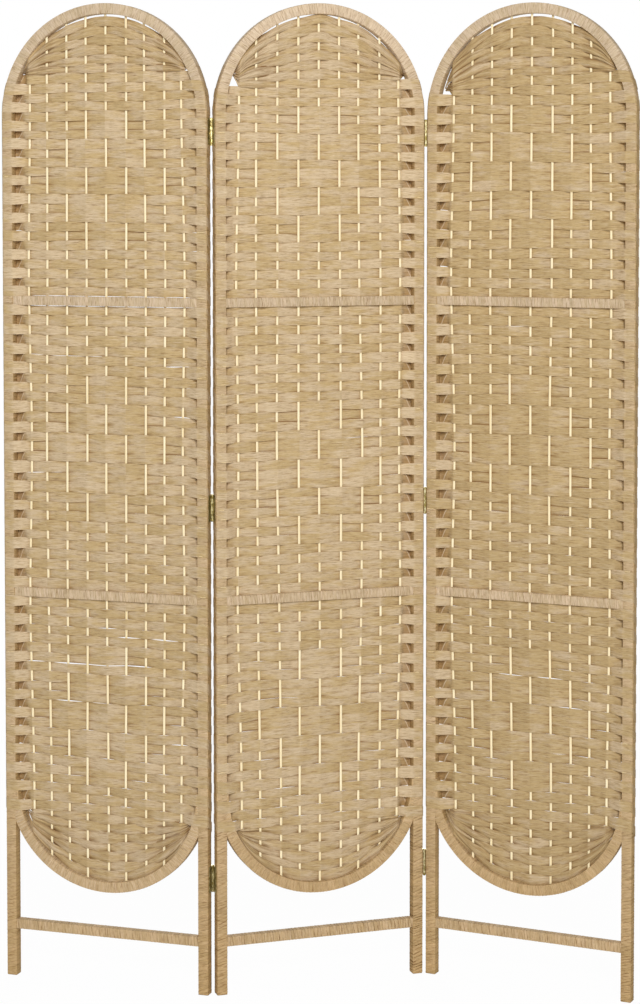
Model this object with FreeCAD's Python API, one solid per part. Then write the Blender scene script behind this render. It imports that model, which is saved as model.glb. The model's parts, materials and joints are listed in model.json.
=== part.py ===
import FreeCAD
import Part

import math
import os

# A folding screen of three round-headed panels. Each panel is a wooden frame wound with paper ribbon,
# with paper strips woven over upright rods. Butt hinges join the panels, so that they fold in a zig-zag.
# A panel is drawn in its own frame: X across it, Y from front to back, Z up from the floor.

# Panel frame
panel_width = 400.0  # over the wound posts
panel_height = 1800.0
post_width = 18.4  # bare wood, across the panel
post_depth = 18.8  # bare wood, front to back
wrap_thickness = 0.5  # paper ribbon wound on each frame member
wrap_clearance = 0.1  # between the ribbon and the wood, and between two sleeves of ribbon
foot_rounding = 3.0  # round the lower edges of each foot
foot_bare = 3.5  # bare wood below the ribbon at each foot

# Members between the posts
crossbar_height = 16.0  # bare wood
crossbar_depth = 15.0
upper_crossbar_drop = 540.0  # panel top to the upper crossbar's middle
lower_crossbar_rise = 721.0  # floor to the lower crossbar's middle
stretcher_height = 17.0
stretcher_depth = 15.0
stretcher_rise = 97.0  # floor to the stretcher's middle
bottom_arch_rise = 172.0  # floor to the underside of the bottom arch
bottom_arch_inset = 3.0  # taken off half the panel width to give the bottom arch's radius

# Dowels in the frame joints
dowel_diameter = 6.0
dowel_length = 24.0
dowel_clearance = 0.05
heel_cover = 3.0  # wood below the dowel at each heel of the bottom arch

# Upright rods
rod_count = 9
rod_diameter = 4.0
rod_edge_gap = 28.4  # inner face of a post to the middle of the first rod
rod_seat = 6.0  # depth of a rod's end in an arch
rod_clearance = 0.15

# Woven strips
strip_thickness = 0.8
strip_clearance = 0.15  # between a strip and what it passes
strip_end_margin = 1.5  # strip's end to the post's outer edge, clear of the hinge barrels
row_gap = 0.8  # between neighbouring strips
band_rows = 3  # rows in one band of a lozenge
lozenge_reach = (1, 2, 3, 2, 1)  # rods on each side of the middle that each band covers
# Plain rows above and below the lozenge, for the upper, middle and lower field
plain_rows = {
    "left": ((10, 5), (7, 7), (5, 10)),
    "centre": ((10, 6), (10, 5), (5, 9)),
    "right": ((9, 5), (7, 7), (5, 10)),
}

# Butt hinges
hinge_gap = 3.0  # between two panels that lie in line
hinge_height = 48.0
middle_knuckle_height = 24.0
knuckle_gap = 0.3  # between neighbouring knuckles
knuckle_relief = 0.4  # round a knuckle, in the other leaf
barrel_diameter = 5.0
pin_diameter = 2.4
pin_fit = 0.02  # radial, in the knuckles that hold the pin
pin_running_clearance = 0.05  # radial, in the knuckle that turns on it
pin_head_diameter = 4.0
pin_head_height = 1.0
pin_setback = 2.4  # middle of the pin beyond the wound face of the post
leaf_thickness = 1.2
leaf_width = 17.0  # from the pin's middle
top_hinge_drop = 33.0  # springing of the top arch to the top hinge's middle
bottom_hinge_rise = 211.0  # floor to the bottom hinge's middle

# Hinge screws
screw_head_diameter = 5.2
screw_shank_diameter = 2.8
screw_length = 13.0  # over the head and the tip
screw_tip = 3.0
screw_spread = 32.0  # between the two screws of a leaf
screw_offset = 11.0  # from the pin's middle
screw_clearance = 0.05
recess_length = 3.2  # cross recess in the head
recess_width = 0.6
recess_depth = 0.7

# Pose in which the screen stands, in degrees
centre_panel_turn = 18.9
left_fold = 36.8  # from flat, the left panel's free end going back
right_fold = 43.9  # from flat, the right panel's free end coming forward

# Values that follow from those above
half_width = panel_width / 2
wound_growth = wrap_thickness + wrap_clearance
wound_width = post_width + 2 * wound_growth
half_depth = post_depth / 2 + wound_growth
inner_face = half_width - wound_width
post_middle = half_width - wound_width / 2
springing = panel_height - half_width
bottom_radius = half_width - bottom_arch_inset
bottom_springing = bottom_arch_rise + bottom_radius
upper_crossbar_z = panel_height - upper_crossbar_drop
wound_crossbar = crossbar_height + 2 * wound_growth
heel_z = bottom_springing - math.sqrt((bottom_radius - wound_growth) ** 2 - inner_face**2)
heel_dowel_z = heel_z + heel_cover + dowel_diameter / 2
rod_radius = rod_diameter / 2
rod_pitch = 2 * (inner_face - rod_edge_gap) / (rod_count - 1)
rod_places = [rod_edge_gap - inner_face + index * rod_pitch for index in range(rod_count)]
strip_swing = strip_clearance + strip_thickness / 2
lozenge_rows = band_rows * len(lozenge_reach)
barrel_radius = barrel_diameter / 2
pin_offset = half_width + hinge_gap / 2
pin_depth = half_depth + pin_setback
top_hinge_z = springing - top_hinge_drop
hinge_places = {
    "top": top_hinge_z,
    "middle": (top_hinge_z + bottom_hinge_rise) / 2,
    "bottom": bottom_hinge_rise,
}

up = FreeCAD.Vector(0, 0, 1)
backward = FreeCAD.Vector(0, 1, 0)
sideways = FreeCAD.Vector(1, 0, 0)
sides = (-1, 1)


# A box between two values on each axis, given in either order.
def block(x_span, y_span, z_span):
    low = [min(span) for span in (x_span, y_span, z_span)]
    size = [abs(span[1] - span[0]) for span in (x_span, y_span, z_span)]
    return Part.makeBox(*size, FreeCAD.Vector(*low))


# An upright cylinder.
def upright(radius, x, y, z_low, z_high):
    return Part.makeCylinder(radius, z_high - z_low, FreeCAD.Vector(x, y, z_low), up)


# A disc with its axis from front to back, centred on the panel's middle plane.
def disc(radius, depth, z):
    return Part.makeCylinder(radius, depth, FreeCAD.Vector(0, -depth / 2, z), backward)


# A straight member with its long faces moved out by some growth: upright, or lying across the panel.
def bar(x_span, depth, z_span, across, growth):
    half = depth / 2 + growth
    if across:
        z_span = (z_span[0] - growth, z_span[1] + growth)
    else:
        x_span = (x_span[0] - growth, x_span[1] + growth)
    return block(x_span, (-half, half), z_span)


# A straight member: the wood, and the sleeve of ribbon round it. A sleeve starts a little above a foot, which
# has round lower edges, and one that lies across ends just short of the posts' sleeves.
def wound_bar(x_span, depth, z_span, across):
    wood = bar(x_span, depth, z_span, across, 0)
    if across:
        x_span = (x_span[0] + wrap_clearance, x_span[1] - wrap_clearance)
    else:
        lower_edges = [edge for edge in wood.Edges if edge.BoundBox.ZMax < z_span[0] + foot_rounding]
        wood = wood.makeFillet(foot_rounding, lower_edges)
        z_span = (z_span[0] + foot_bare, z_span[1])
    cover = bar(x_span, depth, z_span, across, wound_growth)
    return wood, cover.cut(bar(x_span, depth, z_span, across, wrap_clearance))


# A whole hoop with all its faces moved out by some growth.
def hoop(wound_radius, z, growth):
    depth = post_depth + 2 * growth
    bare_radius = wound_radius - wound_growth
    return disc(bare_radius + growth, depth, z).cut(disc(bare_radius - post_width - growth, depth, z))


# An arch: the part of a hoop that fills a given space, and the sleeve of ribbon round it, which ends just
# short of the posts' sleeves.
def wound_arch(wound_radius, z, space, sleeve_space):
    sleeve = hoop(wound_radius, z, wound_growth).cut(hoop(wound_radius, z, wrap_clearance))
    return hoop(wound_radius, z, 0).common(space), sleeve.common(sleeve_space)


# Height of an arch's wound inner face above or below its springing, at one place across the panel.
def inner_height(wound_radius, x):
    return math.sqrt((wound_radius - wound_width) ** 2 - x**2)


# Ends of the rod at one place across the panel.
def rod_ends(x):
    low = bottom_springing - inner_height(bottom_radius, x) - rod_seat
    high = springing + inner_height(half_width, x) + rod_seat
    return low, high


# Rods, or the holes that they stand in.
def rods(clearance):
    shapes = []
    for x in rod_places:
        low, high = rod_ends(x)
        shapes.append(upright(rod_radius + clearance, x, 0, low - clearance, high + clearance))
    return shapes


# Dowels of the frame joints, or their holes.
def dowels(clearance):
    radius = dowel_diameter / 2 + clearance
    reach = dowel_length / 2 + clearance
    shapes = []
    for side in sides:
        for z in (upper_crossbar_z, lower_crossbar_rise, stretcher_rise, heel_dowel_z):
            start = FreeCAD.Vector(side * inner_face - reach, 0, z)
            shapes.append(Part.makeCylinder(radius, 2 * reach, start, sideways))
        shapes.append(upright(radius, side * post_middle, 0, springing - reach, springing + reach))
    return shapes


# Places of the screws on one edge of a panel. The pin lies at the back (+1) or at the front (-1).
def screw_places(pin_face):
    y = pin_face * (pin_depth - screw_offset)
    return [(y, z + side * screw_spread / 2) for z in hinge_places.values() for side in sides]


# A countersunk screw driven into one edge of a panel, or the hole for it.
def screw(edge, y, z, clearance):
    head = screw_head_diameter / 2 + clearance
    shank = screw_shank_diameter / 2 + clearance
    face = FreeCAD.Vector(edge * (half_width + leaf_thickness), y, z)
    inward = sideways * -edge
    tip_start = screw_length - screw_tip
    body = Part.makeCone(head, shank, leaf_thickness, face, inward)
    body = body.fuse(Part.makeCylinder(shank, tip_start, face, inward))
    return body.fuse(Part.makeCone(shank, shank / 4, screw_tip, face + inward * tip_start, inward))


# The same screw with a cross recess in its head.
def recessed_screw(edge, y, z):
    face = edge * (half_width + leaf_thickness)
    x_span = (face - edge * recess_depth, face + edge * recess_depth)
    long_span = (-recess_length / 2, recess_length / 2)
    short_span = (-recess_width / 2, recess_width / 2)
    shape = screw(edge, y, z, 0)
    for y_span, z_span in ((long_span, short_span), (short_span, long_span)):
        y_place = [y + value for value in y_span]
        z_place = [z + value for value in z_span]
        shape = shape.cut(block(x_span, y_place, z_place))
    return shape.removeSplitter()


# One leaf of a hinge on a panel's edge. The outer leaf has the middle knuckle, the centre leaf the other two.
def hinge_leaf(edge, pin_face, z, has_middle):
    half = hinge_height / 2
    inner = middle_knuckle_height / 2
    x_pin = edge * pin_offset
    y_pin = pin_face * pin_depth
    outer_spans = [(-half, -inner - knuckle_gap), (inner + knuckle_gap, half)]
    middle_spans = [(-inner, inner)]
    own_spans = middle_spans if has_middle else outer_spans
    bore = pin_diameter / 2 + (pin_running_clearance if has_middle else pin_fit)
    x_plate = (edge * half_width, edge * (half_width + leaf_thickness))
    leaf = block(x_plate, (y_pin, y_pin - pin_face * leaf_width), (z - half, z + half))
    leaf = leaf.cut(upright(barrel_radius + knuckle_relief, x_pin, y_pin, z - half, z + half))
    for low, high in own_spans:
        neck = block(x_plate, (y_pin, y_pin - pin_face * leaf_width), (z + low, z + high))
        leaf = leaf.fuse(neck).fuse(upright(barrel_radius, x_pin, y_pin, z + low, z + high))
    leaf = leaf.cut(upright(bore, x_pin, y_pin, z - half, z + half))
    holes = [screw(edge, y, screw_z, screw_clearance) for y, screw_z in screw_places(pin_face)]
    return leaf.cut(holes).removeSplitter()


# A hinge pin with its two heads.
def hinge_pin(edge, pin_face, z):
    x = edge * pin_offset
    y = pin_face * pin_depth
    top = z + hinge_height / 2
    bottom = z - hinge_height / 2
    pin = upright(pin_diameter / 2, x, y, bottom - pin_head_height, top + pin_head_height)
    pin = pin.fuse(upright(pin_head_diameter / 2, x, y, top, top + pin_head_height))
    pin = pin.fuse(upright(pin_head_diameter / 2, x, y, bottom - pin_head_height, bottom))
    return pin.removeSplitter()


# Whether a rod shows in front of the strip. Rows count from the first row of the field's lozenge. In the
# middle row of each band the rods within reach of the middle rod swap over.
def rod_shows(row, rod):
    shows = (row + rod) % 2 == 1
    band = row // band_rows
    if 0 <= row < lozenge_rows and row % band_rows == band_rows // 2:
        if abs(rod - (rod_count - 1) / 2) <= lozenge_reach[band]:
            return not shows
    return shows


# Line of a strip seen from above: behind the rods that show, in front of the others, level over each rod.
def strip_line(row, over_posts):
    swing = rod_radius + strip_swing
    points = []
    for rod, x in enumerate(rod_places):
        y = swing if rod_shows(row, rod) else -swing
        points += [(x - rod_radius, y), (x + rod_radius, y)]
    if not over_posts:
        return [(-inner_face, points[0][1])] + points + [(inner_face, points[-1][1])]
    ends = []
    for side, rod in zip(sides, (0, rod_count - 1)):
        y = (half_depth + strip_swing) * (-1 if rod_shows(row, rod) else 1)
        tip = side * (half_width - strip_end_margin)
        ends.append([(tip, y), (side * (inner_face - strip_thickness), y)])
    return ends[0] + points + ends[1][::-1]


# Closed outline of a strip: its line moved half a thickness to each side, with mitred corners.
def strip_outline(line):
    near = []
    far = []
    for index, (x, y) in enumerate(line):
        before = line[max(index - 1, 0)]
        after = line[min(index + 1, len(line) - 1)]
        normals = []
        for start, end in ((before, (x, y)), ((x, y), after)):
            length = math.hypot(end[0] - start[0], end[1] - start[1])
            if length > 0:
                normals.append(((start[1] - end[1]) / length, (end[0] - start[0]) / length))
        mean = [sum(parts) / len(normals) for parts in zip(*normals)]
        scale = strip_thickness / 2 / (mean[0] ** 2 + mean[1] ** 2)
        near.append((x - mean[0] * scale, y - mean[1] * scale))
        far.append((x + mean[0] * scale, y + mean[1] * scale))
    return near + far[::-1]


# Strips of one field. Those beside an arch end at its wound inner face.
def field_strips(z_low, z_high, rows_above, rows_below):
    count = rows_above + lozenge_rows + rows_below
    pitch = (z_high - z_low) / count
    height = pitch - row_gap
    top_space = disc(half_width - wound_width - strip_clearance, panel_width, springing)
    bottom_space = disc(bottom_radius - wound_width - strip_clearance, panel_width, bottom_springing)
    strips = []
    for index in range(count):
        base = z_high - (index + 1) * pitch + row_gap / 2
        at_top = base + height > springing
        at_bottom = base < bottom_springing
        line = strip_line(index - rows_above, not (at_top or at_bottom))
        points = [FreeCAD.Vector(x, y, base) for x, y in strip_outline(line)]
        strip = Part.Face(Part.makePolygon(points + points[:1])).extrude(up * height)
        if at_top:
            strip = strip.common(top_space)
        if at_bottom:
            strip = strip.common(bottom_space)
        strips += strip.Solids
    return strips


# Lower and upper limits of the upper, middle and lower field.
def field_limits():
    top = panel_height - wound_width
    bottom = bottom_arch_rise + wound_width
    half = wound_crossbar / 2
    return {
        "upper": (upper_crossbar_z + half, top),
        "middle": (lower_crossbar_rise + half, upper_crossbar_z - half),
        "lower": (bottom, lower_crossbar_rise - half),
    }


# Space for the top arch, a gap above the tops of the posts.
def above_springing(gap):
    across = (-half_width, half_width)
    return block(across, (-half_depth, half_depth), (springing + gap, panel_height))


# Space for the bottom arch, a gap short of the posts' wound inner faces.
def between_posts(gap):
    across = (gap - inner_face, inner_face - gap)
    return block(across, (-half_depth, half_depth), (bottom_arch_rise, bottom_springing))


# One panel in its own frame. Hinged edges are pairs of an edge (left -1, right +1) and the pin's face.
def panel(name, hinged_edges):
    top_spaces = [above_springing(gap) for gap in (0, wrap_clearance)]
    bottom_spaces = [between_posts(gap) for gap in (0, wrap_clearance)]
    post_low = half_width - wound_growth - post_width
    post_high = half_width - wound_growth
    across = (-inner_face, inner_face)
    half_crossbar = crossbar_height / 2
    half_stretcher = stretcher_height / 2
    upper_span = (upper_crossbar_z - half_crossbar, upper_crossbar_z + half_crossbar)
    lower_span = (lower_crossbar_rise - half_crossbar, lower_crossbar_rise + half_crossbar)
    stretcher_span = (stretcher_rise - half_stretcher, stretcher_rise + half_stretcher)
    members = {
        "left_post": wound_bar((-post_high, -post_low), post_depth, (0, springing), False),
        "right_post": wound_bar((post_low, post_high), post_depth, (0, springing), False),
        "top_arch": wound_arch(half_width, springing, *top_spaces),
        "bottom_arch": wound_arch(bottom_radius, bottom_springing, *bottom_spaces),
        "upper_crossbar": wound_bar(across, crossbar_depth, upper_span, True),
        "lower_crossbar": wound_bar(across, crossbar_depth, lower_span, True),
        "leg_stretcher": wound_bar(across, stretcher_depth, stretcher_span, True),
    }
    drills = rods(rod_clearance) + dowels(dowel_clearance)
    for edge, pin_face in hinged_edges:
        drills += [screw(edge, y, z, screw_clearance) for y, z in screw_places(pin_face)]
    nodes = {}
    sleeves = []
    for member, (wood, sleeve) in members.items():
        nodes[member] = wood.cut(drills).Solids
        sleeves += sleeve.cut(drills).Solids
    nodes["frame_wrap"] = sleeves
    nodes["frame_dowels"] = dowels(0)
    nodes["warp_rods"] = rods(0)
    limits = field_limits()
    for field, (rows_above, rows_below) in zip(limits, plain_rows[name]):
        nodes[field + "_weave"] = field_strips(*limits[field], rows_above, rows_below)
    return {f"{name}_panel_{node}": shapes for node, shapes in nodes.items()}


# The leaves, or the screws, of one joint that ride on one panel.
def joint_leaves(joint, edge, pin_face, has_middle):
    owner = "outer" if has_middle else "centre"
    nodes = {}
    for place, z in hinge_places.items():
        nodes[f"{joint}_joint_{place}_hinge_{owner}_leaf"] = [hinge_leaf(edge, pin_face, z, has_middle)]
    screws = [recessed_screw(edge, y, z) for y, z in screw_places(pin_face)]
    nodes[f"{joint}_joint_{owner}_leaf_screws"] = screws
    return nodes


# The pins of one joint.
def joint_pins(joint, edge, pin_face):
    return {f"{joint}_joint_hinge_pins": [hinge_pin(edge, pin_face, z) for z in hinge_places.values()]}


# A turn about an upright line.
def turn(x, y, degrees):
    place = FreeCAD.Placement()
    place.Rotation = FreeCAD.Rotation(up, degrees)
    centre = FreeCAD.Vector(x, y, 0)
    place.Base = centre - place.Rotation.multVec(centre)
    return place


# Placements of the panels: each outer panel lies in line with the centre one, then folds about its pins.
def panel_places():
    shift = panel_width + hinge_gap
    centre = turn(0, 0, centre_panel_turn)
    left_flat = FreeCAD.Placement(sideways * -shift, FreeCAD.Rotation())
    right_flat = FreeCAD.Placement(sideways * shift, FreeCAD.Rotation())
    return {
        "left": centre * turn(-pin_offset, pin_depth, -left_fold) * left_flat,
        "centre": centre,
        "right": centre * turn(pin_offset, -pin_depth, -right_fold) * right_flat,
    }


# All nodes, with each panel's own in its own frame.
def screen_nodes():
    left = panel("left", [(1, 1)])
    left.update(joint_leaves("left", 1, 1, True))
    centre = panel("centre", [(-1, 1), (1, -1)])
    centre.update(joint_leaves("left", -1, 1, False))
    centre.update(joint_leaves("right", 1, -1, False))
    centre.update(joint_pins("left", -1, 1))
    centre.update(joint_pins("right", 1, -1))
    right = panel("right", [(-1, -1)])
    right.update(joint_leaves("right", -1, -1, True))
    return {"left": left, "centre": centre, "right": right}


def main():
    os.makedirs("parts", exist_ok=True)
    places = panel_places()
    placed = {}
    for name, nodes in screen_nodes().items():
        matrix = places[name].toMatrix()
        for node, shapes in nodes.items():
            placed[node] = Part.makeCompound([shape.transformed(matrix, copy=True) for shape in shapes])
    # The origin is on the floor under the middle of the standing screen.
    box = Part.makeCompound(list(placed.values())).BoundBox
    middle = FreeCAD.Vector((box.XMin + box.XMax) / 2, (box.YMin + box.YMax) / 2, 0)
    move = FreeCAD.Matrix()
    move.move(middle * -1)
    for node, shape in placed.items():
        moved = shape.transformed(move, copy=True)
        single = moved.Solids[0] if len(moved.Solids) == 1 else moved
        single.exportStep(f"parts/{node}.step")
    print("nodes", len(placed), "solids", sum(len(shape.Solids) for shape in placed.values()))
    print("size", round(box.XLength, 2), round(box.YLength, 2), round(box.ZLength, 2))
    for name, place in places.items():
        base = place.Base - middle
        angle = place.Rotation.toEuler()[0]
        print(name, "panel at", round(base.x, 3), round(base.y, 3), "turned", round(angle, 3))
    for name, side in (("left", -1), ("right", 1)):
        pin = places["centre"].multVec(FreeCAD.Vector(side * pin_offset, -side * pin_depth, 0)) - middle
        print(name, "pin at", round(pin.x, 3), round(pin.y, 3))


main()
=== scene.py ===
import json
import math

import bpy
import numpy as np
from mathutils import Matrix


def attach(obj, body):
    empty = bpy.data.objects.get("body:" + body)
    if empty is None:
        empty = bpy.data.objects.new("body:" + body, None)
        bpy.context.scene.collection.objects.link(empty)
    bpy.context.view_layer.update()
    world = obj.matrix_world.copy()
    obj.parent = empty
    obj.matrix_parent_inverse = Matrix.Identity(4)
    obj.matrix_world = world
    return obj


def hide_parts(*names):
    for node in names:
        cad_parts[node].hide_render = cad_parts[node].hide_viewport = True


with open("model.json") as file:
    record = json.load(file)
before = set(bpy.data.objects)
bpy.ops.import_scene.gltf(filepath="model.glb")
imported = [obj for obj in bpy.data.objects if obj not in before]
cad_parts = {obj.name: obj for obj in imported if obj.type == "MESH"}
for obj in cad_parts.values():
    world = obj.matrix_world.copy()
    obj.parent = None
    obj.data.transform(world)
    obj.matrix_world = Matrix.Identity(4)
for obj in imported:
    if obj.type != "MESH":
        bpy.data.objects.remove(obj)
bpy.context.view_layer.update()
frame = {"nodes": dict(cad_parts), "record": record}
print("frame:", len(frame["nodes"]), "nodes")

# One panel in its own frame, in metres: x across it, y from front to back, z up from the floor.
panelSize = {
    "halfWidth": 0.2,
    "memberWidth": 0.0196,
    "halfDepth": 0.0100,
    "top": 1.8,
    "springing": 1.6,
    "bottomRadius": 0.197,
    "bottomSpringing": 0.369,
    "upperBar": 1.26,
    "lowerBar": 0.721,
    "stretcher": 0.097,
    "halfBar": 0.0086,
    "halfStretcher": 0.0091,
    "barHalfDepth": 0.0081,
}
panelNames = ("left", "centre", "right")
memberHalf = panelSize["memberWidth"] / 2
innerFace = panelSize["halfWidth"] - panelSize["memberWidth"]
bottomInner = panelSize["bottomRadius"] - panelSize["memberWidth"]
fullTurn = 6.28  # one wave, in radians
sharpTurn = math.radians(42)  # edges that turn by more than this are shaded sharp

feet = {mount["name"]: np.array(mount["pos_m"]) for mount in frame["record"]["mounts"]}


# 0 as far as low, 1 from high on and straight between; high may be the lesser of the two.
def ramp(value, low, high):
    return np.clip((value - low) / (high - low), 0.0, 1.0)


# Where a panel stands: the middle of its two feet, the way across it and the way to its back.
def panelPlace(panelName):
    leftFoot = feet[panelName + "_panel_left_foot"]
    rightFoot = feet[panelName + "_panel_right_foot"]
    across = (rightFoot - leftFoot) / np.linalg.norm(rightFoot - leftFoot)
    return (leftFoot + rightFoot) / 2, across, np.array([-across[1], across[0], 0.0])


# A point of the panel's own frame: the panel's middle plus x along it, y to its back and z upwards.
def standIn(panelName, points):
    middle, across, back = panelPlace(panelName)
    up = np.array([0.0, 0.0, 1.0])
    return middle + points[:, :1] * across + points[:, 1:2] * back + points[:, 2:] * up


# Puts points, four-cornered faces, a UV map and named values into one mesh that rides on its panel.
def makePiece(name, panelName, points, quads, uv, values, material, slotName, nodes=()):
    mesh = bpy.data.meshes.new(name)
    mesh.vertices.add(len(points))
    mesh.vertices.foreach_set("co", standIn(panelName, points).astype(np.float32).ravel())
    mesh.loops.add(quads.size)
    mesh.loops.foreach_set("vertex_index", quads.astype(np.int32).ravel())
    mesh.polygons.add(len(quads))
    mesh.polygons.foreach_set("loop_start", np.arange(0, quads.size, 4, dtype=np.int32))
    mesh.update(calc_edges=True)
    layer = mesh.uv_layers.new(name="ribbon")
    layer.data.foreach_set("uv", uv[quads.ravel()].astype(np.float32).ravel())
    for valueName, value in values.items():
        attribute = mesh.attributes.new(valueName, "FLOAT", "POINT")
        attribute.data.foreach_set("value", value.astype(np.float32).ravel())
    mesh.polygons.foreach_set("use_smooth", np.ones(len(quads), dtype=bool))
    mesh.set_sharp_from_angle(angle=sharpTurn)
    mesh.materials.append(material)
    piece = bpy.data.objects.new(name, mesh)
    bpy.context.scene.collection.objects.link(piece)
    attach(piece, panelName + "_panel")
    if nodes:
        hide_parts(*nodes)


# Faces round a tube of so many rings, each a loop of so many points.
def tubeQuads(rings, sides):
    index = np.arange(rings * sides).reshape(rings, sides)
    beside = np.roll(index, -1, axis=1)
    return np.stack([index[:-1], beside[:-1], beside[1:], index[1:]], -1).reshape(-1, 4)


# Points, faces and UV places of several parts as those of one mesh.
def joined(parts):
    points, quads, uv = zip(*parts)
    starts = np.cumsum([0] + [len(each) for each in points[:-1]])
    moved = [faces + start for faces, start in zip(quads, starts)]
    return np.concatenate(points), np.concatenate(moved), np.concatenate(uv)


# A socket that can stand in a sum: each operator adds one Math node.
class Wire:
    def __init__(self, finish, socket):
        self.finish = finish
        self.socket = socket

    def calc(self, operation, *values):
        return self.finish.add("ShaderNodeMath", {"operation": operation}, list(values))

    def __add__(self, other):
        return self.calc("ADD", self, other)

    def __sub__(self, other):
        return self.calc("SUBTRACT", self, other)

    def __rsub__(self, other):
        return self.calc("SUBTRACT", other, self)

    def __mul__(self, other):
        return self.calc("MULTIPLY", self, other)

    def __truediv__(self, other):
        return self.calc("DIVIDE", self, other)

    def __rtruediv__(self, other):
        return self.calc("DIVIDE", other, self)

    __radd__ = __add__
    __rmul__ = __mul__

    # 0 below low, the given level above high, smooth between
    def step(self, low, high, level=1.0):
        settings = {"interpolation_type": "SMOOTHSTEP"}
        inputs = {"Value": self, "From Min": low, "From Max": high, "To Max": level}
        return self.finish.add("ShaderNodeMapRange", settings, inputs)


# The node tree of a material or a world. Sockets get a Wire as a link and anything else as a value.
class Finish:
    def __init__(self, owner):
        owner.use_nodes = True
        self.owner = owner
        self.tree = owner.node_tree
        self.tree.nodes.clear()

    def add(self, kind, settings=None, inputs=None, output=0):
        node = self.tree.nodes.new(kind)
        for key, value in (settings or {}).items():
            setattr(node, key, value)
        pairs = enumerate(inputs) if isinstance(inputs, list) else (inputs or {}).items()
        for key, value in pairs:
            socket = node.inputs[key]
            if isinstance(value, Wire):
                self.tree.links.new(value.socket, socket)
            else:
                socket.default_value = value
        return Wire(self, node.outputs[output]) if node.outputs else None

    # one of two colours, or the way from one to the other; 6, 7 and 2 are the node's colour sockets
    def mixed(self, factor, first, second, blend="MIX"):
        settings = {"data_type": "RGBA", "blend_type": blend}
        colours = [value if isinstance(value, Wire) else (*value, 1.0) for value in (first, second)]
        return self.add("ShaderNodeMix", settings, {0: factor, 6: colours[0], 7: colours[1]}, 2)

    # noise on coordinates stretched by a scale for each axis
    def noise(self, place, scale, detail, roughness=0.6):
        stretched = self.add("ShaderNodeVectorMath", {"operation": "MULTIPLY"}, [place, scale])
        inputs = {"Vector": stretched, "Scale": 1.0, "Detail": detail, "Roughness": roughness}
        return self.add("ShaderNodeTexNoise", {"noise_dimensions": "3D"}, inputs)

    # a colour times a level
    def shade(self, colour, level):
        grey = self.add("ShaderNodeCombineColor", None, [level, level, level])
        return self.mixed(1.0, colour, grey, "MULTIPLY")

    # one of the piece's named values
    def value(self, name):
        return self.add("ShaderNodeAttribute", {"attribute_name": name}, output="Fac")

    # metres along and across a ribbon
    def onRibbon(self):
        return self.add("ShaderNodeUVMap", {"uv_map": "ribbon"})

    def onObject(self):
        return self.add("ShaderNodeTexCoord", output="Object")

    def bump(self, height, strength, distance):
        inputs = {"Strength": strength, "Distance": distance, "Height": height}
        return self.add("ShaderNodeBump", None, inputs)

    def close(self, inputs):
        shader = self.add("ShaderNodeBsdfPrincipled", None, inputs)
        self.add("ShaderNodeOutputMaterial", None, {"Surface": shader})
        return self.owner


# Colours are written as seen in daylight, 0 to 255, and turned into linear light here.
def paint(red, green, blue):
    channel = np.array([red, green, blue]) / 255
    return tuple(np.where(channel <= 0.04045, channel / 12.92, ((channel + 0.055) / 1.055) ** 2.4).tolist())


paperLook = {
    # dark brown of the fibres' streaks, also mixed in as painted shade
    "crease": paint(132, 94, 50),
    # painted shade: warm brown mixed into the lengths that pass behind a post
    "hollow": paint(180, 138, 84),
    "roughness": 0.82,
    "specular": 0.2,
    "relief": (0.8, 0.0008),  # strength and depth
    # noises: scale along and across the ribbon, and detail
    "streaks": (26.0, 400.0, 3.0),
    "lines": (48.0, 760.0, 3.0),
    "fibres": (80.0, 1900.0, 2.0),
    "drift": (17.0, 60.0, 3.0),
    # levels of a noise between which its marks come up, and how strong they are
    "darkStreaks": (0.56, 0.66, 0.25),
    "darkLines": (0.55, 0.65, 0.5),
    "darkFibres": (0.52, 0.68, 0.4),
    "paleStreaks": (0.55, 0.68, 0.28),
    "paleLines": (0.56, 0.68, 0.44),
    "lineRelief": 0.6,
    "fibreRelief": 0.25,
    "hueRange": (0.36, 0.62),
    "hueTone": 0.055,  # how far the tone of a length moves its hue
}


# Ribbon made of many fibres. Streaks run along them: noise stretched along the ribbon, dark where it is high
# and pale where it is low. The hue drifts from rosy to olive by a slower noise and the tone of each length.
def fibrePaper(finish, alongAxis, tone, colours):
    place = finish.onRibbon()

    def stretched(name):
        along, across, detail = paperLook[name]
        scale = (along, across, 1.0) if alongAxis == 0 else (across, along, 1.0)
        return finish.noise(place, scale, detail)

    streaks, lines, fibres, drift = (stretched(name) for name in ("streaks", "lines", "fibres", "drift"))
    olive = (drift - tone * paperLook["hueTone"]).step(*paperLook["hueRange"])
    hue = finish.mixed(olive, colours["rosy"], colours["olive"])
    dark = streaks.step(*paperLook["darkStreaks"]) + lines.step(*paperLook["darkLines"])
    dark = dark + fibres.step(*paperLook["darkFibres"])
    pale = (1.0 - streaks).step(*paperLook["paleStreaks"]) + (1.0 - lines).step(*paperLook["paleLines"])
    colour = finish.mixed(dark, finish.mixed(pale, hue, colours["pale"]), paperLook["crease"])
    return colour, streaks + lines * paperLook["lineRelief"] + fibres * paperLook["fibreRelief"]


def closePaper(finish, colour, relief):
    look = {"Base Color": colour, "Normal": finish.bump(relief, *paperLook["relief"])}
    look["Roughness"] = paperLook["roughness"]
    look["Specular IOR Level"] = paperLook["specular"]
    return finish.close(look)


wovenLook = {
    "rosy": paint(209, 186, 151),
    "olive": paint(200, 173, 125),
    "pale": paint(234, 217, 187),
    "level": 0.893,
    "toneLevel": 0.022,
    "heightShade": (0.2, 1.7, 0.11),  # painted shade: heights between which the ribbon gets paler, and by how much
    "hollowShadeShare": 0.45,
    "ridgeWidth": 0.12,  # painted highlight: square of the turn to each side of a fold's ridge
    "ridgeRange": (0.0, 0.7),
    "ridgeDeep": (0.3, 0.6),
    "ridgeHighlightShare": 0.65,
    "shadeShare": 0.8,
}
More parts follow.
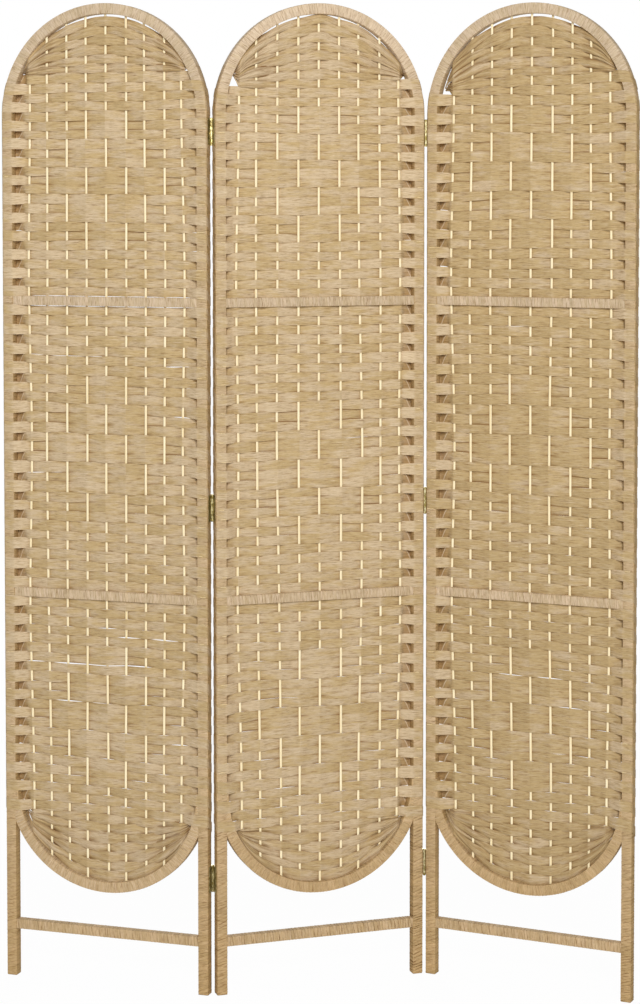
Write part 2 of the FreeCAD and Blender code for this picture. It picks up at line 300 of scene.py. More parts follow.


# Woven ribbon: fibres run along it and each length has a tone of its own. Painted shade makes it a little
# darker towards the floor, warmer in the hollows beside the posts, and darker in the creases, along strip
# edges and beside rods.
# A painted highlight makes the fold across a hollow pale where the fold's turn is near a quarter.
def wovenPaper():
    finish = Finish(bpy.data.materials.new("woven_paper"))
    tone = finish.value("tone")
    deep = finish.value("deep")
    colour, relief = fibrePaper(finish, 0, tone, wovenLook)
    level = wovenLook["level"] + tone * wovenLook["toneLevel"]
    # painted shade: the ribbon gets darker towards the floor, as under light from above
    colour = finish.shade(colour, level + finish.value("height").step(*wovenLook["heightShade"]))
    # painted shade: the lengths hidden behind a post are mixed towards a warm brown
    colour = finish.mixed(deep * wovenLook["hollowShadeShare"], colour, paperLook["hollow"])
    # painted highlight: the fold's ridge across a hollow is mixed towards the pale colour
    fold = finish.value("fold") - 0.5 * math.pi
    ridge = (1.0 - fold * fold / wovenLook["ridgeWidth"]).step(*wovenLook["ridgeRange"])
    ridge = ridge * deep.step(*wovenLook["ridgeDeep"])
    colour = finish.mixed(ridge * wovenLook["ridgeHighlightShare"], colour, wovenLook["pale"])
    # painted shade on strip edges, pleat valleys, beside rods and on the turns round the posts
    colour = finish.mixed(finish.value("crease") * wovenLook["shadeShare"], colour, paperLook["crease"])
    return closePaper(finish, colour, relief)


woundLook = {
    "rosy": paint(214, 192, 163),
    "olive": paint(208, 186, 152),
    "pale": paint(236, 219, 196),
    "level": 0.99,
    "toneLevel": 0.045,
    "lowTint": (0.765, 0.65, 0.425),  # how much browner the ribbon is at the floor
    "lapRange": (0.6, 1.0),  # part of a turn's width that lies near the next one's edge
    # how strong the painted shadow line under a turn's edge is
    "lapShadowShare": 0.7,
    "lapRelief": 0.6,
}


# Wound ribbon: fibres run round the member, a painted shadow line lies under the edge of each turn, and the
# ribbon is browner towards the floor.
def woundPaper():
    finish = Finish(bpy.data.materials.new("wound_paper"))
    tone = finish.value("tone")
    colour, relief = fibrePaper(finish, 1, tone, woundLook)
    # painted shadow: a dark line under the edge of each turn
    under = finish.value("lap").step(*woundLook["lapRange"]) * finish.value("edge")
    colour = finish.mixed(under * woundLook["lapShadowShare"], colour, paperLook["crease"])
    lowTinted = finish.mixed(finish.value("brown"), (1.0, 1.0, 1.0), woundLook["lowTint"])
    colour = finish.shade(colour, woundLook["level"] + tone * woundLook["toneLevel"])
    colour = finish.mixed(1.0, colour, lowTinted, "MULTIPLY")
    return closePaper(finish, colour, relief - under * woundLook["lapRelief"])


threadLook = {
    "pale": paint(252, 236, 192),
    "dark": paint(226, 196, 132),
    "twist": ((900.0, 900.0, 1.0), 3.0),
    "twistRange": (0.35, 0.7),
    "roughness": 0.7,
    "relief": (0.4, 0.0003),
}


# Twisted paper thread: pale, with fine darker marks.
def threadPaper():
    finish = Finish(bpy.data.materials.new("paper_thread"))
    twist = finish.noise(finish.onRibbon(), *threadLook["twist"])
    colour = finish.mixed(twist.step(*threadLook["twistRange"]), threadLook["pale"], threadLook["dark"])
    normal = finish.bump(twist, *threadLook["relief"])
    return finish.close({"Base Color": colour, "Roughness": threadLook["roughness"], "Normal": normal})


woodLooks = {
    # round sticks: pale, with a fine upright grain
    "rod_wood": {
        "grain": ((900.0, 900.0, 14.0), 3.0),
        "grainRange": (0.35, 0.75),
        "light": paint(255, 242, 206),
        "dark": paint(240, 216, 160),
        "patches": ((60.0, 60.0, 9.0), 2.0, 0.5),
        "patchRange": (0.45, 0.8, 0.5),
        "patch": paint(255, 240, 200),
        "relief": (0.3, 0.0002),
        "roughness": 0.5,
    },
    # sawn wood under the ribbon: long grain with darker year lines
    "frame_wood": {
        "grain": ((500.0, 500.0, 16.0), 4.0),
        "grainRange": (0.35, 0.7),
        "light": paint(206, 176, 130),
        "dark": paint(172, 138, 92),
        "patches": ((120.0, 120.0, 3.0), 2.0, 0.5),
        "patchRange": (0.5, 0.7, 0.4),
        "patch": paint(150, 116, 74),
        "relief": (0.4, 0.0004),
        "roughness": 0.7,
    },
}


# Wood: light to dark by a noise drawn out along the grain, with patches of a third colour by a slower one.
def grainedWood(name):
    look = woodLooks[name]
    finish = Finish(bpy.data.materials.new(name))
    place = finish.onObject()
    grain = finish.noise(place, *look["grain"])
    patches = finish.noise(place, *look["patches"])
    colour = finish.mixed(grain.step(*look["grainRange"]), look["light"], look["dark"])
    colour = finish.mixed(patches.step(*look["patchRange"]), colour, look["patch"])
    normal = finish.bump(grain, *look["relief"])
    return finish.close({"Base Color": colour, "Roughness": look["roughness"], "Normal": normal})


brassLook = {
    "blotch": ((260.0, 260.0, 160.0), 4.0),
    "brushed": ((1800.0, 1800.0, 60.0), 2.0, 0.5),
    "wornRange": (0.4, 0.66),
    "blotched": paint(138, 122, 64),
    "rubbed": paint(232, 222, 180),
    "metallic": 0.9,
    "roughness": 0.4,
    "rubbedSmooth": 0.14,
    "brushedRough": 0.2,
    "relief": (0.25, 0.0002),
}


# Aged brass: bright where it is rubbed, brown-green in the blotches.
def agedBrass():
    finish = Finish(bpy.data.materials.new("aged_brass"))
    place = finish.onObject()
    blotch = finish.noise(place, *brassLook["blotch"])
    brushed = finish.noise(place, *brassLook["brushed"])
    worn = blotch.step(*brassLook["wornRange"])
    look = {"Base Color": finish.mixed(worn, brassLook["blotched"], brassLook["rubbed"])}
    look["Metallic"] = brassLook["metallic"]
    smooth = brassLook["roughness"] - worn * brassLook["rubbedSmooth"]
    look["Roughness"] = smooth + (brushed - 0.5) * brassLook["brushedRough"]
    look["Normal"] = finish.bump(brushed + blotch, *brassLook["relief"])
    return finish.close(look)


wovenFinish = wovenPaper()
woundFinish = woundPaper()
rodFinish = grainedWood("rod_wood")
threadFinish = threadPaper()
woodFinish = grainedWood("frame_wood")
brassFinish = agedBrass()
for nodeName, nodeObject in frame["nodes"].items():
    brassNode = "hinge" in nodeName or nodeName.endswith("_leaf_screws")
    nodeObject.data.materials.clear()
    nodeObject.data.materials.append(brassFinish if brassNode else woodFinish)
print("finishes ready")

rodValues = {
    "pitch": 0.038,
    "radius": 0.0023,
    "flat": 0.0017,  # half of a rod from front to back
    "seat": 0.006,
    "sides": 10,
    "stepLength": 0.012,
    # how far each rod leans from its even place, in millimetres, at five heights
    "heights": (0.40, 0.70, 1.00, 1.30, 1.60),
    "lean": {
        "left": (
            (5, -2, 5, -1, 4), (2, -2, -4, -1, 0), (0, -2, -1, 0, 1), (-2, 0, 1, 1, 1), (2, 0, 0, 2, 2),
            (-2, 1, 1, 3, 4), (0, 1, 2, 3, 1), (-3, 0, 0, 3, 2), (-7, 1, -3, 3, -4),
        ),
        "centre": (
            (2, -6, -3, -8, -1), (-1, -5, -6, -8, -7), (1, -2, -7, -5, -5), (-1, -1, -3, -3, -3),
            (0, 0, -2, -2, -2), (3, 3, 3, 1, -1), (-1, 5, 7, 0, -2), (3, 5, 4, 4, 1), (-1, 6, 2, 5, 0),
        ),
        "right": (
            (8, -2, 5, -5, 1), (5, -2, -2, -6, -1), (3, -1, -1, -3, -1), (5, 0, -2, -3, -1),
            (4, 0, 0, -1, 0), (5, 0, -2, 2, 2), (5, 1, 1, 0, 1), (2, 1, 1, 0, -2), (-3, 1, -2, 1, -4),
        ),
    },
    "leanShifts": (-0.07, -0.035, 0.0, 0.035, 0.07),  # the lean is averaged over these
}
rodCount = 9


def evenPlace(rod):
    return (rod - (rodCount - 1) / 2) * rodValues["pitch"]


# A rod's place across the panel: its even place plus its lean, which runs smoothly between the given heights.
def rodAcross(panelName, rod, z):
    lean = rodValues["lean"][panelName][rod]
    spread = [np.interp(z + shift, rodValues["heights"], lean) for shift in rodValues["leanShifts"]]
    return evenPlace(rod) + sum(spread) / (1000 * len(spread))


# Height of the frame's inner edge over a place x: the springing plus the root of radius squared less x
# squared, or less that root at the bottom. What is under the root stays above zero.
def topInner(x):
    return panelSize["springing"] + np.sqrt(np.maximum(innerFace**2 - x**2, 1e-9))


def bottomInnerEdge(x):
    return panelSize["bottomSpringing"] - np.sqrt(np.maximum(bottomInner**2 - x**2, 1e-9))


# Rods: a ring of points, cosine and sine of the turn, carried up each rod's course.
def makeRods(panelName):
    turn = np.arange(rodValues["sides"]) * 2 * np.pi / rodValues["sides"]
    parts = []
    for rod in range(rodCount):
        low = bottomInnerEdge(evenPlace(rod)) - rodValues["seat"]
        high = topInner(evenPlace(rod)) + rodValues["seat"]
        z = np.linspace(low, high, int((high - low) / rodValues["stepLength"]))[:, None]
        ring = np.empty((len(z), len(turn), 3))
        ring[..., 0] = rodAcross(panelName, rod, z) + rodValues["radius"] * np.cos(turn)
        ring[..., 1] = rodValues["flat"] * np.sin(turn)
        ring[..., 2] = z
        uv = np.stack(np.broadcast_arrays(turn, z), -1).reshape(-1, 2)
        parts.append((ring.reshape(-1, 3), tubeQuads(len(z), len(turn)), uv))
    nodes = (panelName + "_panel_warp_rods",)
    makePiece(panelName + "_rods", panelName, *joined(parts), {}, rodFinish, "rod_wood", nodes)


# The fields of a panel: their rows, the gathers under and over the arches, and where rows part.
weaveValues = {
    "bandRows": 3,
    "reach": (1, 2, 3, 2, 1),
    # plain rows above and below the lozenge, for the upper, middle and lower field
    "plainRows": {
        "left": ((10, 5), (7, 7), (5, 10)),
        "centre": ((10, 6), (10, 5), (5, 9)),
        "right": ((9, 5), (7, 7), (5, 10)),
    },
    "uneven": 0.07,  # share of a row by which the line between two rows is moved
    "wobble": 0.00025,  # waves of that line: height and length
    "wobbleWave": 0.09,
    # slow waves that neighbouring rows share: height, length across and length up
    "sagWaves": ((0.0013, 0.46, 0.38), (0.0008, 0.27, 0.55), (0.0005, 0.19, 0.24)),
    "sagHold": 8,  # how fast the sag dies out at a field's limits
    # where two rows part a little, in millimetres: height, from and to across the panel, opening
    "slits": {
        "left": (
            (1270, -160, 190, 2.4), (1250, -170, 190, 2.6), (1160, -160, 8, 0.9), (1140, 110, 180, 1.9),
            (1105, 150, 180, 2.4), (1057, 125, 180, 2.0), (1001, 148, 180, 1.6), (945, -172, -80, 1.3),
            (1073, 37, 63, 0.9), (658, -24, 28, 1.0), (640, 14, 174, 1.4), (587, -169, 87, 1.5),
            (529, -127, -4, 1.2), (460, 113, 174, 1.4),
        ),
        "centre": ((1000, 40, 110, 0.8), (540, -100, -30, 0.8)),
        "right": ((583, -78, 105, 1.0), (529, 11, 126, 1.0), (439, 37, 79, 0.9), (1215, -60, 30, 0.8)),
    },
    "slitSlope": 0.02,
    # heights about which the rows under the top arch come together, at the left and the right end
    "topGather": {"left": (1.672, 1.672), "centre": (1.656, 1.672), "right": (1.639, 1.672)},
    # how far the gathered ends rise, and from where to where across the panel
    "tipRise": {"left": (0.002, 0.012), "centre": (0.02, 0.006), "right": (0.007, 0.005)},
    "tipRamp": (0.156, 0.163),
    "bottomGather": 0.306,
    "gatherAcross": 0.1635,
    "tipHeight": 0.006,
    "fanStart": 0.03,  # rows fan out fully from here on, across the panel
    "fanWobble": 0.02,  # how uneven the lines of a fan are, apart from its first and last
    "fanInside": 0.49,
    "squeezeRamp": (0.05, 0.11),  # gathered rows are squeezed fully from the second place on
    "leastSqueeze": 0.28,
    # opening under the top arch: its height, and where it starts and ends across the panel
    "topGap": {"left": (0.005, -0.12, 0.14), "centre": (0.0044, -0.14, 0.17), "right": (0.0055, -0.17, 0.12)},
    "topGapSlope": 0.04,
    "topGapMiddle": (0.02, 0.15),  # half width of the middle where it closes, and the share left there
    "bottomGap": 0.001,
}
lozengeRows = weaveValues["bandRows"] * len(weaveValues["reach"])

# A strip of ribbon: its course over and under the rods, and its section.
stripValues = {
    "lift": 0.0031,  # middle of a strip off the rods' middle plane
    "fanLift": 0.0024,  # how much farther off the rods it lies where the rows gather
    "bulge": 0.52,  # reach over a rod that the strip covers, in rows
    "bulgeUneven": (-0.012, 0.02),
    "meet": 0.507,  # reach where neighbouring strips meet
    "fanMeet": 0.68,  # the same where the rows gather
    "samples": (0.0, 0.07, 0.3, 0.7, 0.93),  # on the way from one turning point to the next
    "rounding": (0.0012, 0.0012, 0.004, 0.004, 0.004),  # of place, depth, rise and both reaches
    "across": (-1.0, -0.74, -0.38, 0.0, 0.38, 0.74, 1.0),
    "thickness": 0.0005,
    "pleat": 0.00022,
    "pleatCounts": (1.3, 2.4, 3.7),
    "pleatDrift": 0.6,  # how far the pleats wander, and over which length
    "pleatWave": 0.07,
    "squeezedPleat": 3.0,  # how much deeper they are in a row that is squeezed flat
    "cup": 0.0004,  # how far a strip's edges lie behind its middle
    "fanCup": 0.0026,  # more of it where the rows gather
    "fanCupRamp": (0.148, 0.128),
    "endWay": 0.012,  # before the frame's inner edge a strip gets calmer
    "endCalm": 0.85,
    "twist": 0.0016,  # height of the slanting fold behind a post
    "foldPlace": 0.0185,  # its distance from the outermost rod
    "foldWidth": 0.0045,
    "foldSlant": 1.3,
    "foldStart": (0.004, 0.012),  # where it sets in and dies out beyond that rod
    "foldEnd": (0.034, 0.022),
    "uvSpread": 50,  # strips lie this far apart in the pattern, at most
}

# The ends of the strips. Lists run from the tip inwards.
endValues = {
    "postLift": 0.0004,  # off the frame's face
    "edgeLift": 0.0008,  # off the post's outer side, where a strip turns round it
    # gathered ends
    "tipUneven": 0.003,
    "tipDepth": (0.003, 0.008),
    "tipPast": 0.007,
    "tipBefore": 0.003,
    "tipBehind": 0.0012,
    "tipReach": 0.5,
    # ends that pass in front of a post and turn round its outer side
    "tuck": 0.013,
    "tuckBehind": 0.0017,
    "bend": 0.0025,
    "turnRise": (-1.0, -0.95, -0.85, -0.15, -0.05, 0.0),
    "turnReach": (0.45, 0.46, 0.47, 0.54),
    "faceReach": (0.57, 0.62),
    "innerReach": 0.58,
    # ends that pass behind a post; the rows below the given height reach farther down
    "lowBelow": 1.3,
    "lowTops": (0.4, 0.45, 0.5, 0.52),
    "lowReach": 0.62,
    "highTops": (0.5, 0.53, 0.56),
    "highLows": (0.4, 0.46, 0.52),
    "backShort": 0.003,
    "backLift": (0.0006, 0.0004),
    "backReach": 0.44,
    "innerGap": 0.001,
    "lastShare": 0.75,
    "diveDepth": (0.0082, 0.004, -0.0012),
    "rodReach": 0.51,
    # where on the way from the rod to the left and the right post a row dives behind it, and how deep it goes
    "dive": {
        "left": ((0.3, 1.0), (0.36, 0.45)),
        "centre": ((0.36, 0.45), (0.12, 1.0)),
        "right": ((0.12, 1.0), (0.36, 0.45)),
    },
}

# Painted shade and tones of the strips.
shadeValues = {
    # how much painted shade lies on the lengths that dive behind the left and the right post
    "diveShade": {"left": (1.0, 0.08), "centre": (0.3, 1.0), "right": (1.0, 0.12)},
    "diveUneven": (0.7, 1.2),
    "diveAcross": (0.001, 0.006),
    "diveDepth": (-0.002, 0.006),
    "uneven": (0.5, 1.2),
    # gathered rows: painted shade along their edges, at places across a strip, with waves along it
    "fanEdge": ((0.0, 0.7, 1.0), (0.0, 0.3, 1.3)),
    "fanLevel": 0.7,
    "fanWaves": 0.5,
    "fanWave": 0.05,
    "fanSunk": ((0.2, 0.6, 1.0), (0.0, 0.55, 1.0)),
    "valley": 0.75,  # painted shade in the valleys of the pleats there
    "valleySlope": 1.4,
    "valleyStart": 0.4,
    "edge": 1.3,  # painted shade on a strip's edges where it lies behind a rod
    "edgeProfile": ((0.7, 0.88, 1.0), (0.0, 0.6, 1.0)),
    "rod": 0.34,  # and painted shadow on the whole strip just beside that rod
    "rodRamp": (0.0055, 0.0025),
    "side": 0.32,  # painted shade on the turns round a post's outer side
    "sideStart": 0.001,
    "cellTone": 0.85,
    "rowTone": 0.4,
    "panelTone": {"left": 0.0, "centre": 0.45, "right": -1.7},  # how far each panel's ribbon is moved in tone
    "tautTone": 2.4,  # the stretched lengths that climb onto the posts are paler
    "tautStart": (0.0, 0.006),
    "tautEnd": (0.004, -0.002),
}


# Whether a rod shows in front of a row: every other one does, and in the middle row of each band the rods
# within the band's reach swap over.
def rodShows(row, rod):
    shows = (row + rod) % 2 == 1
    band = row // weaveValues["bandRows"]
    if 0 <= row < lozengeRows and row % weaveValues["bandRows"] == 1:
        if abs(rod - (rodCount - 1) / 2) <= weaveValues["reach"][band]:
            return not shows
    return shows


# Outer edge of the frame at a height: the post, or the circle of the arch above the springing.
def outerEdge(z):
    rise = np.clip(z - panelSize["springing"], 0.0, panelSize["halfWidth"])
    return np.sqrt(panelSize["halfWidth"] ** 2 - rise**2)


# Inner edge of the frame at a height: the post, or the circle of one of the arches.
def innerEdge(z):
    rise = np.clip(z - panelSize["springing"], 0.0, innerFace)
    drop = np.clip(panelSize["bottomSpringing"] - z, 0.0, bottomInner)
    lower = np.where(drop > 0, np.sqrt(bottomInner**2 - drop**2), innerFace)
    return np.minimum(np.sqrt(innerFace**2 - rise**2), lower)


# How far gathered rows are squeezed at a place across the panel: little near the middle, fully near the tips.
def squeezeShare(x):
    return np.maximum(ramp(np.abs(x), *weaveValues["squeezeRamp"]), weaveValues["leastSqueeze"])


# An end of a row in a gather: the tip lies behind the frame.
def gatheredEnd(random):
    tip = weaveValues["gatherAcross"] + random.uniform(-endValues["tipUneven"], endValues["tipUneven"])
    depth = random.uniform(*endValues["tipDepth"])
    reach = endValues["tipReach"]
    behind = panelSize["halfDepth"] + endValues["tipBehind"]
    return [
        (tip + endValues["tipPast"], behind, 0.0, reach, reach),
        (tip - endValues["tipBefore"], depth, 0.0, reach, reach),
    ]


# An end that passes in front of its post and turns round it. By its tip, behind the post, it has moved on by
# one row, upwards at the left post and downwards at the right one.
def frontEnd(inner, outer, random):
    front = -(panelSize["halfDepth"] + endValues["postLift"])
    back = panelSize["halfDepth"] + endValues["tuckBehind"]
    edge = outer + endValues["edgeLift"]
    bend = endValues["bend"]
    across = (outer - endValues["tuck"], edge - bend, edge, edge, edge - bend, inner)
    depths = (back, back, back - bend, front + bend, front, front)
    reaches = (*endValues["turnReach"], random.uniform(*endValues["faceReach"]), endValues["innerReach"])
    turns = zip(across, depths, endValues["turnRise"], reaches)
    return [(x, depth, rise, reach, reach) for x, depth, rise, reach in turns]


# An end that passes behind its post in a straight slant.
def hiddenEnd(z, rodX, inner, outer, dive, random):
    below = z < endValues["lowBelow"]
    top = random.choice(endValues["lowTops"] if below else endValues["highTops"])
    low = endValues["lowReach"] if below else random.choice(endValues["highLows"])
    start, deep = dive
    last = endValues["lastShare"]
    inside = inner - endValues["innerGap"]
    way = inside - rodX
    tipLift, innerLift = (panelSize["halfDepth"] + lift for lift in endValues["backLift"])
    lastDepth, halfDepth, rodDepth = endValues["diveDepth"]
    reach = endValues["rodReach"]
    return [
        (outer - endValues["backShort"], tipLift, 0.0, endValues["backReach"], low),
        (inside, innerLift, 0.0, top, low),
        (rodX + last * way, lastDepth * deep, 0.0, top, low),
        (rodX + (start + last) / 2 * way, halfDepth * deep, 0.0, (top + reach) / 2, (low + reach) / 2),
        (rodX + start * way, rodDepth, 0.0, reach, reach),
    ]


# Turning points of one row, left to right: place across, depth, rise in rows, and reach up and down in rows.
# An end is gathered, or passes in front of its post, or passes behind it.
def rowTurns(panelName, row, z, gathered, random):
    lift = stripValues["lift"]
    turns = []
    for rod in range(rodCount):
        x = float(rodAcross(panelName, rod, z))
        inFan = gathered[0] if rod < rodCount // 2 else gathered[1]
        squeezed = float(squeezeShare(x)) if inFan else 0.0
        meet = stripValues["meet"] + (stripValues["fanMeet"] - stripValues["meet"]) * squeezed
        shows = rodShows(row, rod) and not (inFan and rod in (0, rodCount - 1))
        bulge = max(stripValues["bulge"] + random.uniform(*stripValues["bulgeUneven"]), meet)
        up = bulge if rodShows(row - 1, rod) != shows else meet
        down = bulge if rodShows(row + 1, rod) != shows else meet
        if rod:
            before = turns[-1]
            depth = (before[1] + (lift if shows else -lift)) / 2
            turns.append(((before[0] + x) / 2, depth, 0.0, meet, meet))
        turns.append((x, lift if shows else -lift - stripValues["fanLift"] * squeezed, 0.0, up, down))
    outer = float(outerEdge(z))
    inner = float(innerEdge(z))
    ends = []
    for end, side in enumerate((-1, 1)):
        if gathered[end]:
            points = gatheredEnd(random)
        elif rodShows(row, end * (rodCount - 1)):
            points = frontEnd(inner, outer, random)
        else:
            rodX = abs(turns[-end][0])
            points = hiddenEnd(z, rodX, inner, outer, endValues["dive"][panelName][end], random)
        ends.append([(side * x, depth, side * rise, up, down) for x, depth, rise, up, down in points])
    return np.array(ends[0] + turns + ends[1][::-1])


# A row's samples: straight runs between its turning points, rounded there by averaging a little to each side.
def rowLine(turns):
    length = np.concatenate([[0.0], np.cumsum(np.hypot(np.diff(turns[:, 0]), np.diff(turns[:, 1])))])
    along = (length[:-1, None] + np.diff(length)[:, None] * np.array(stripValues["samples"])).ravel()
    along = np.append(along, length[-1])
    line = np.zeros((len(along), turns.shape[1]))
    for column, reach in enumerate(stripValues["rounding"]):
        for shift, weight in ((-reach, 0.25), (0.0, 0.5), (reach, 0.25)):
            line[:, column] += weight * np.interp(along + shift, length, turns[:, column])
    return along, line


softValues = {"lengths": (1.0, 1.6, 2.2), "level": 2.2}


# Soft noise: three sine waves, each longer than the one before, between about -1 and 1.
def soft(along, wave, phases):
    pairs = zip(softValues["lengths"], phases)
    waves = [np.sin(fullTurn * along / (wave * length) + phase) for length, phase in pairs]
    return sum(waves) / softValues["level"]


# Sag that neighbouring rows share: slow waves across and up the panel that die out at the field's limits.
def sag(plan, x, z):
    share = ramp(z, plan["low"], plan["high"])
    hold = np.clip(weaveValues["sagHold"] * share * (1 - share), 0.0, 1.0)
    total = 0.0
    for (tall, across, upward), phase in zip(weaveValues["sagWaves"], plan["sagPhases"]):
        total = total + tall * np.sin(fullTurn * (x / across + z / upward) + phase)
    return hold * total


# Line between two rows. For a gathered row it fans out on that side: from the gather's height, raised at the
# tip, towards the arch by its own share.
def rowEdge(plan, x, number, gathered):
    z = plan["edges"][number]
    wobble = soft(x, weaveValues["wobbleWave"], plan["edgePhases"][number])
    line = z + sag(plan, x, z) + weaveValues["wobble"] * wobble
    gather = plan["gather"]
    for end, side in enumerate((-1, 1)):
        if not gathered[end]:
            continue
        foot = gather["z"][end]
        way = gather["way"]
        start = foot + sag(plan, x, foot) + gather["rise"][end] * ramp(np.abs(x), *weaveValues["tipRamp"])
        share = (z - foot) / (gather["end"] - foot)
        span = way * np.maximum(way * (gather["arch"](x) - start), weaveValues["tipHeight"])
        own = weaveValues["fanWobble"] if abs(share - 0.5) < weaveValues["fanInside"] else 0.0
        fan = start + span * (share + own * wobble)
        line = line + (fan - line) * ramp(x * side, 0.0, weaveValues["fanStart"])
    return line


# Course of one strip: samples of its line, the way off it to the front, its reach to the edges of its row,
# and where it is gathered, hidden by a post or sunk behind the rods.
def stripCourse(panelName, plan, row, number, random):
    rowHigh, rowLow = plan["edges"][number : number + 2]
    z = (rowHigh + rowLow) / 2
    gather = plan["gather"]
    gathered = (False, False)
    if gather is not None:
        gathered = tuple((z - foot) * gather["way"] > 0 for foot in gather["z"])
    along, line = rowLine(rowTurns(panelName, row, z, gathered, random))
    x, y, rise, up, down = line.T
    tangent = np.gradient(line[:, :2], along, axis=0)
    tangent /= np.linalg.norm(tangent, axis=1)[:, None]
    high = rowEdge(plan, x, number, gathered)
    low = rowEdge(plan, x, number + 1, gathered)
    whole = high - low
    upward = whole * up - plan["slit"](x, number) / 2
    downward = whole * down - plan["slit"](x, number + 1) / 2
    v = np.array(stripValues["across"])
    inFan = np.where(x < 0, *gathered)
    rods = np.array([rodAcross(panelName, rod, z) for rod in range(rodCount)])
    hidden = [not rodShows(row, rod) for rod in (0, rodCount - 1)]
    inner = innerEdge(z)
    return {
        "z": z,
        "along": along,
        "x": x,
        "y": y,
        "v": v,
        "outward": np.stack([tangent[:, 1], -tangent[:, 0]], -1),
        "height": (high + low) / 2 + rise * whole,
        "reach": np.where(v > 0, v * upward[:, None], v * downward[:, None]),
        "rowReach": np.where(v > 0, up[:, None], down[:, None]),
        "squeeze": whole / (rowHigh - rowLow),
        "inFan": inFan,
        "fanShare": inFan * squeezeShare(x),
        "endShare": ramp(np.abs(x), inner - stripValues["endWay"], inner) * (1 - inFan),
        "rods": rods,
        "beyond": np.abs(x) - np.where(x < 0, -rods[0], rods[-1]),
        "behind": np.where(x < 0, *hidden) * (1 - inFan),
        "sunk": np.clip(y / stripValues["lift"], 0.0, 1.0) * (np.abs(x) < weaveValues["gatherAcross"]),
    }


# Pleats of a strip: sine waves across it whose phases wander along it.
def stripPleats(strip, random):
    pleat = 0.0
    for count in stripValues["pleatCounts"]:
        start = random.uniform(0, fullTurn)
        drift = soft(strip["along"], stripValues["pleatWave"], random.uniform(0, fullTurn, 3))
        phase = start + stripValues["pleatDrift"] * drift
        pleat = pleat + np.sin(fullTurn / 2 * count * strip["v"] + phase[:, None]) / 2
    return pleat


# How far a strip lies off its line: pleats, deeper where the row is squeezed, less the cup, which grows with
# the square of the place across, and little of both at a post. The rows that pass behind a post twist there:
# the sine of the fold's turn, which runs slantwise across the hollow. Gives that turn too.
def stripRelief(strip, pleat):
    v = strip["v"]
    squeezed = 1 - np.clip(strip["squeeze"], 0.0, 1.0)
    depth = stripValues["pleat"] * (1 + stripValues["squeezedPleat"] * squeezed)
    fanCup = stripValues["fanCup"] * strip["fanShare"] * ramp(np.abs(strip["x"]), *stripValues["fanCupRamp"])
    cup = stripValues["cup"] + fanCup
    calm = 1 - stripValues["endCalm"] * strip["endShare"]
    off = calm[:, None] * (depth[:, None] * pleat - cup[:, None] * v**2)
    beyond = strip["beyond"]
    hollow = strip["behind"] * ramp(beyond, *stripValues["foldStart"]) * ramp(beyond, *stripValues["foldEnd"])
    turn = 0.5 * np.pi + (beyond - stripValues["foldPlace"]) / stripValues["foldWidth"]
    fold = stripValues["foldSlant"] * v + turn[:, None]
    return off + stripValues["twist"] * hollow[:, None] * np.sin(fold), fold


# Painted shade on the edges and the pleats' valleys of gathered rows, on the edges of a strip behind a rod
# and the whole strip beside it, and on the turns round a post's outer side. The darkest of them holds.
def stripPaintedShade(strip, pleat, random):
    x = strip["x"]
    v = np.abs(strip["v"])
    fanShare = strip["fanShare"]
    sunk = strip["sunk"]
    level = fanShare * random.uniform(*shadeValues["uneven"])
    waves = soft(strip["along"], shadeValues["fanWave"], random.uniform(0, fullTurn, 3))
    level = level * (shadeValues["fanLevel"] + shadeValues["fanWaves"] * waves)
    crease = level[:, None] * np.interp(v, *shadeValues["fanEdge"])
    valley = np.clip(-shadeValues["valleySlope"] * pleat - shadeValues["valleyStart"], 0.0, 1.0)
    crease = np.maximum(crease, shadeValues["valley"] * fanShare[:, None] * valley)
    crease = np.maximum(crease, (fanShare * sunk)[:, None] * np.interp(v, *shadeValues["fanSunk"]))
    level = shadeValues["edge"] * random.uniform(*shadeValues["uneven"]) * sunk
    seen = 1 - fanShare * (2 * stripValues["fanMeet"] - 1)
    toEdge = 2 * v * strip["rowReach"] / seen[:, None]
    crease = np.maximum(crease, level[:, None] * np.interp(toEdge, *shadeValues["edgeProfile"]))
    turned = (1 - strip["inFan"]) * (np.abs(x) > outerEdge(strip["z"]) - shadeValues["sideStart"])
    toRod = np.abs(x[:, None] - strip["rods"]).min(axis=1)
    beside = shadeValues["rod"] * sunk * ramp(toRod, *shadeValues["rodRamp"])
    return np.maximum(crease, np.maximum(shadeValues["side"] * turned, beside)[:, None])


# Each length between two rods has its own tone, and those that climb onto a post are paler.
def stripTone(panelName, strip, random):
    cell = np.searchsorted(strip["rods"], strip["x"])
    tone = random.normal(0, shadeValues["cellTone"], rodCount + 1)[cell]
    tone = tone + random.normal(0, shadeValues["rowTone"]) + shadeValues["panelTone"][panelName]
    taut = (1 - strip["behind"]) * (1 - strip["inFan"]) * ramp(strip["beyond"], *shadeValues["tautStart"])
    taut = taut * ramp(np.abs(strip["x"]) - innerEdge(strip["z"]), *shadeValues["tautEnd"])
    return tone + shadeValues["tautTone"] * taut


